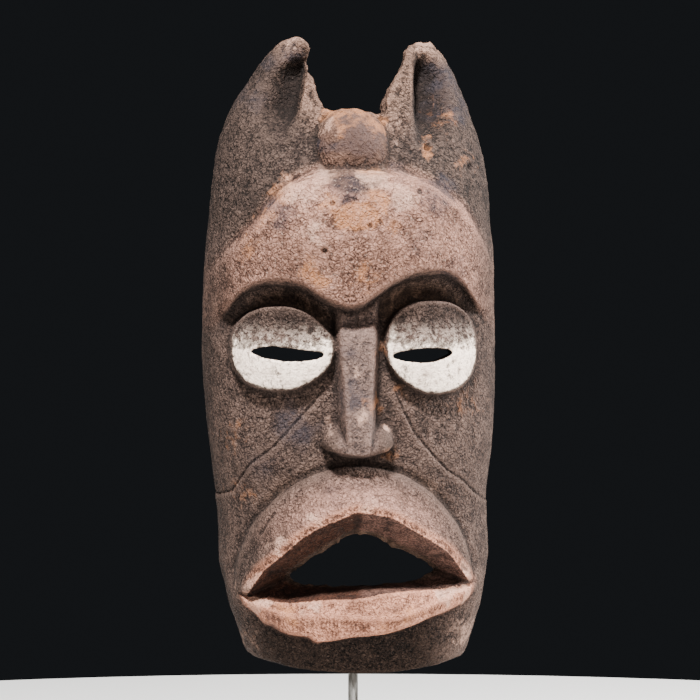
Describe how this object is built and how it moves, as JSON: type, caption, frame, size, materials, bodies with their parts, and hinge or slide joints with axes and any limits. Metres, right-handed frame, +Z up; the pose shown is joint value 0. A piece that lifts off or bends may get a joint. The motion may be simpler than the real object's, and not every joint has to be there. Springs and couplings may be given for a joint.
{
  "type": "carved wooden mask on a stand",
  "caption": "Tall carved wooden face mask with animal ears, heavy brow, slit eyes and wide open mouth, hollow behind, held up by a steel rod in a block foot.",
  "frame": {"origin": "middle of the foot's underside, straight below the rod", "axes": "+Z up along the rod, the face looks along -Y, +X is to the viewer's right"},
  "size_m": [0.1821, 0.1271, 0.4799],
  "materials": {
    "carved_wood": "matte",
    "rod_steel": "satin",
    "black_wood": "satin"
  },
  "bodies": {
    "root": {"mask": "carved_wood", "rod": "rod_steel", "foot": "black_wood"}
  },
  "joints": []
}
